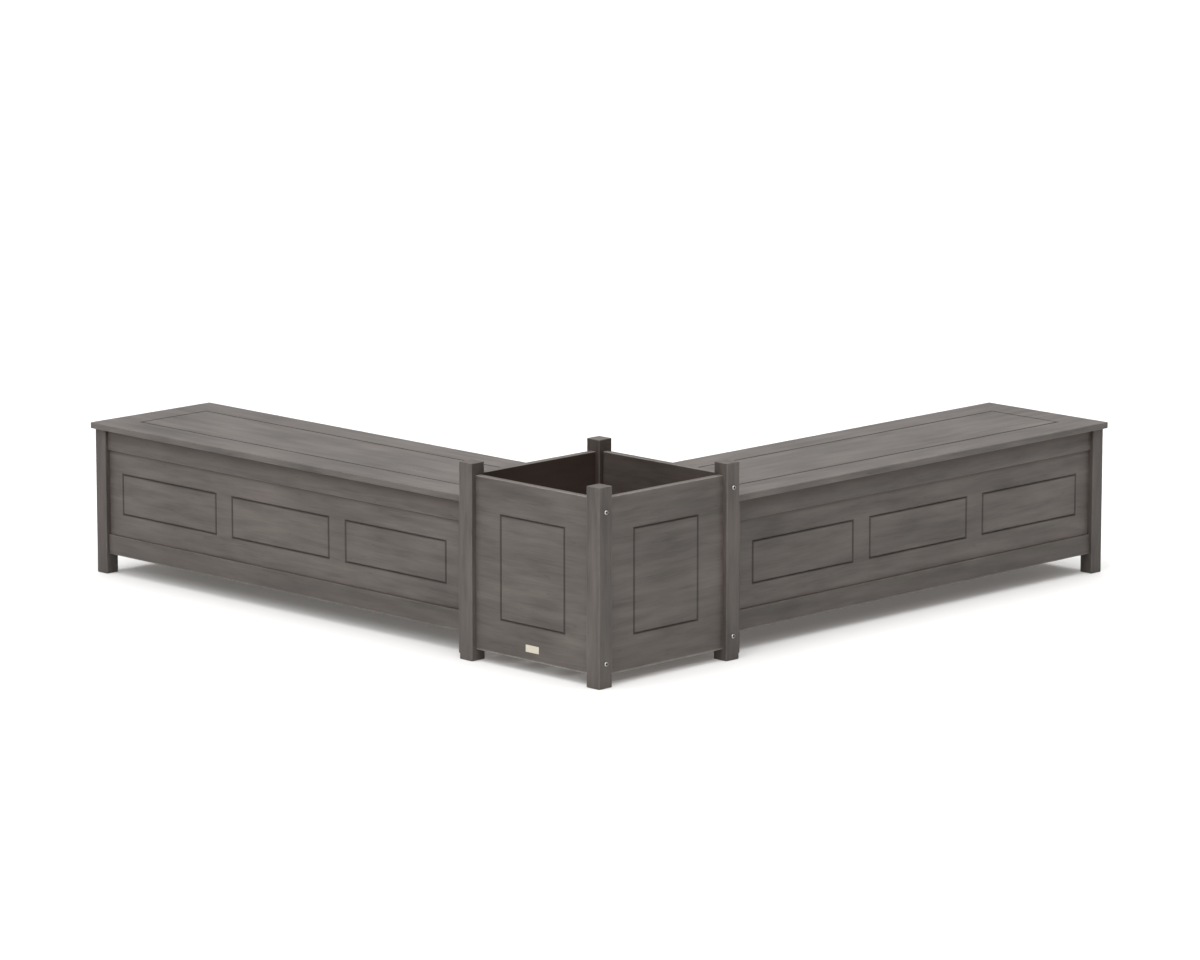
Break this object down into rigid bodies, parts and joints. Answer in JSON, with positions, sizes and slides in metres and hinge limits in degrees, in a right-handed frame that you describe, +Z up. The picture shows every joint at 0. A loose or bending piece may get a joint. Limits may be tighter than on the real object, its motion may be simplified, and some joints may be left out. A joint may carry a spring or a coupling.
{
  "type": "bench with planter",
  "caption": "Corner seating set: a square planter with open top and long backless panelled benches running from its rear sides at right angles.",
  "frame": {"origin": "on the floor, at the middle of the square that the whole set fits in", "axes": "+Z up; +X the way the right bench runs from the planter; +Y the way the left bench runs from the planter"},
  "size_m": [2.181, 2.185, 0.5615],
  "materials": {
    "post_lumber": "wood-grained grey-brown plastic lumber, matt",
    "board_lumber": "wood-grained grey-brown plastic lumber, matt with a faint sheen on the seats",
    "panel_lumber": "smooth grey-brown plastic sheet with routed grooves, matt",
    "stainless": "turned stainless button head with a dark socket",
    "label_plate": "bare cream plate, satin"
  },
  "bodies": {
    "root": {"planter_post_corner": "post_lumber", "planter_post_right": "post_lumber", "planter_post_left": "post_lumber", "planter_post_rear": "post_lumber", "planter_bolt_corner_low": "stainless", "planter_bolt_corner_high": "stainless", "planter_bolt_right_low": "stainless", "planter_bolt_right_high": "stainless", "planter_bolt_left_low": "stainless", "planter_bolt_left_high": "stainless", "planter_bolt_rear_low": "stainless", "planter_bolt_rear_high": "stainless", "planter_panel_front_left": "panel_lumber", "planter_panel_front_right": "panel_lumber", "planter_panel_rear_left": "panel_lumber", "planter_panel_rear_right": "panel_lumber", "planter_floor_cleat_left": "board_lumber", "planter_floor_cleat_right": "board_lumber", "planter_floor_slat_1": "board_lumber", "planter_floor_slat_2": "board_lumber", "planter_floor_slat_3": "board_lumber", "planter_floor_slat_4": "board_lumber", "right_bench_seat": "board_lumber", "right_bench_leg_near_front": "post_lumber", "right_bench_leg_near_back": "post_lumber", "right_bench_leg_far_front": "post_lumber", "right_bench_leg_far_back": "post_lumber", "right_bench_front_apron": "board_lumber", "right_bench_front_rail": "board_lumber", "right_bench_front_panel": "panel_lumber", "right_bench_back_apron": "board_lumber", "right_bench_back_rail": "board_lumber", "right_bench_back_panel": "panel_lumber", "right_bench_end_apron": "board_lumber", "right_bench_end_rail": "board_lumber", "right_bench_end_panel": "panel_lumber", "right_bench_planter_apron": "board_lumber", "right_bench_planter_rail": "board_lumber", "right_bench_batten_1": "board_lumber", "right_bench_batten_2": "board_lumber", "right_bench_ledger": "board_lumber", "left_bench_seat": "board_lumber", "left_bench_leg_near_front": "post_lumber", "left_bench_leg_near_back": "post_lumber", "left_bench_leg_far_front": "post_lumber", "left_bench_leg_far_back": "post_lumber", "left_bench_front_apron": "board_lumber", "left_bench_front_rail": "board_lumber", "left_bench_front_panel": "panel_lumber", "left_bench_back_apron": "board_lumber", "left_bench_back_rail": "board_lumber", "left_bench_back_panel": "panel_lumber", "left_bench_end_apron": "board_lumber", "left_bench_end_rail": "board_lumber", "left_bench_end_panel": "panel_lumber", "left_bench_planter_apron": "board_lumber", "left_bench_planter_rail": "board_lumber", "left_bench_batten_1": "board_lumber", "left_bench_batten_2": "board_lumber", "left_bench_ledger": "board_lumber"}
  },
  "joints": []
}
